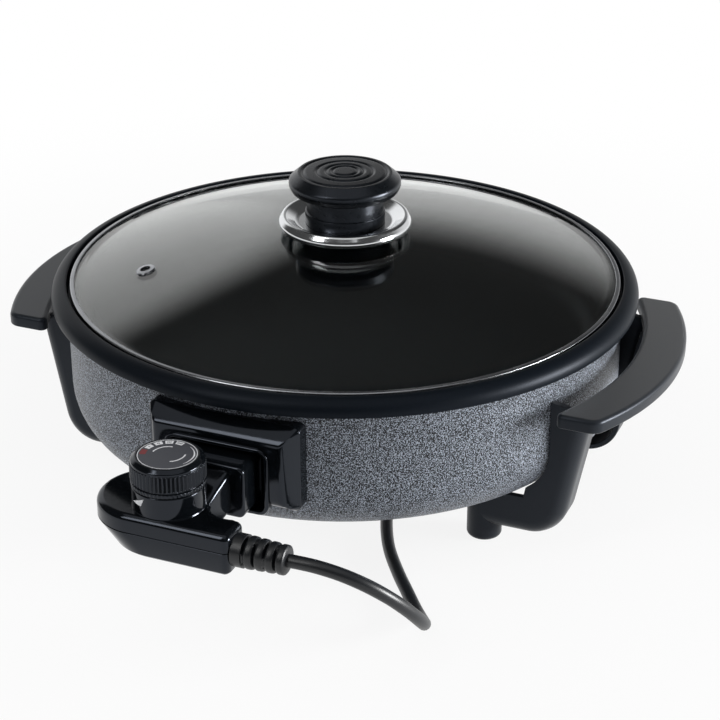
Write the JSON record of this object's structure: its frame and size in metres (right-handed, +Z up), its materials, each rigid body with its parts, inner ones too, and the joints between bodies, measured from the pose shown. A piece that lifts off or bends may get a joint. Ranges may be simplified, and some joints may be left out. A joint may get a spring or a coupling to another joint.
{
  "type": "electric pizza pan",
  "caption": "Round electric frying pan in a hammered-finish shell, with a lift-off glass lid, leg handles and a plug-in thermostat on a mains lead.",
  "frame": {"origin": "on the table, under the middle of the footprint of pan, handles and controller; the pan's axis is 32.25 mm behind it", "axes": "+Z up along the pan's axis, -Y towards the thermostat socket and controller, +X towards the right handle"},
  "size_m": [0.422, 0.5454, 0.1937],
  "materials": {
    "non_stick": "dark non-stick coating",
    "hammered_enamel": "hammered grey paint",
    "element_steel": "satin",
    "contact_brass": "satin",
    "steatite": "matte",
    "plated_steel": "satin",
    "well_aluminium": "satin",
    "gloss_bakelite": "gloss",
    "matte_bakelite": "matte",
    "clear_glass": "clear",
    "band_steel": "polished",
    "saucer_chrome": "polished",
    "washer_rubber": "matte",
    "dial_print": "satin",
    "cord_rubber": "satin",
    "tie_plastic": "matte"
  },
  "bodies": {
    "base": {"pan": "non_stick", "outer_shell": "hammered_enamel", "heating_element": "element_steel", "terminal_pins": "contact_brass", "terminal_insulators": "steatite", "earth_pin": "plated_steel", "probe_well": "well_aluminium", "socket_housing": "gloss_bakelite", "socket_screws": "plated_steel", "handle_left": "matte_bakelite", "handle_right": "matte_bakelite", "handle_screws": "plated_steel"},
    "lid": {"lid_glass": "clear_glass", "lid_rim_band": "band_steel", "vent_eyelet": "band_steel", "knob_saucer": "saucer_chrome", "lid_knob": "gloss_bakelite", "knob_screw": "plated_steel", "knob_washer": "washer_rubber"},
    "controller": {"controller_case_upper": "gloss_bakelite", "controller_case_lower": "gloss_bakelite", "case_screws": "plated_steel", "sensor_probe": "plated_steel", "contact_sleeves": "contact_brass", "earth_sleeve": "contact_brass", "thermostat_bracket": "plated_steel", "contact_blades": "contact_brass", "strain_relief": "cord_rubber", "cord": "cord_rubber", "cord_coil": "cord_rubber", "cord_tail": "cord_rubber", "cord_tie": "tie_plastic", "plug_body": "cord_rubber", "plug_pins": "plated_steel"},
    "thermostat_knob": {"control_knob": "gloss_bakelite", "dial_plate": "dial_print", "knob_spindle": "plated_steel"}
  },
  "joints": [
    {"name": "lid_lift", "type": "slide", "parent": "base", "child": "lid", "axis": [0, 0, 1], "range_m": [0, 0.12]},
    {"name": "controller_unplug", "type": "slide", "parent": "base", "child": "controller", "axis": [0, -1, 0], "range_m": [0, 0.07]},
    {"name": "control_knob_turn", "type": "hinge", "parent": "controller", "child": "thermostat_knob", "pos_m": [-0.0085, -0.19025, 0.0945], "axis": [0, 0, 1], "range_deg": [-270, 0]}
  ]
}
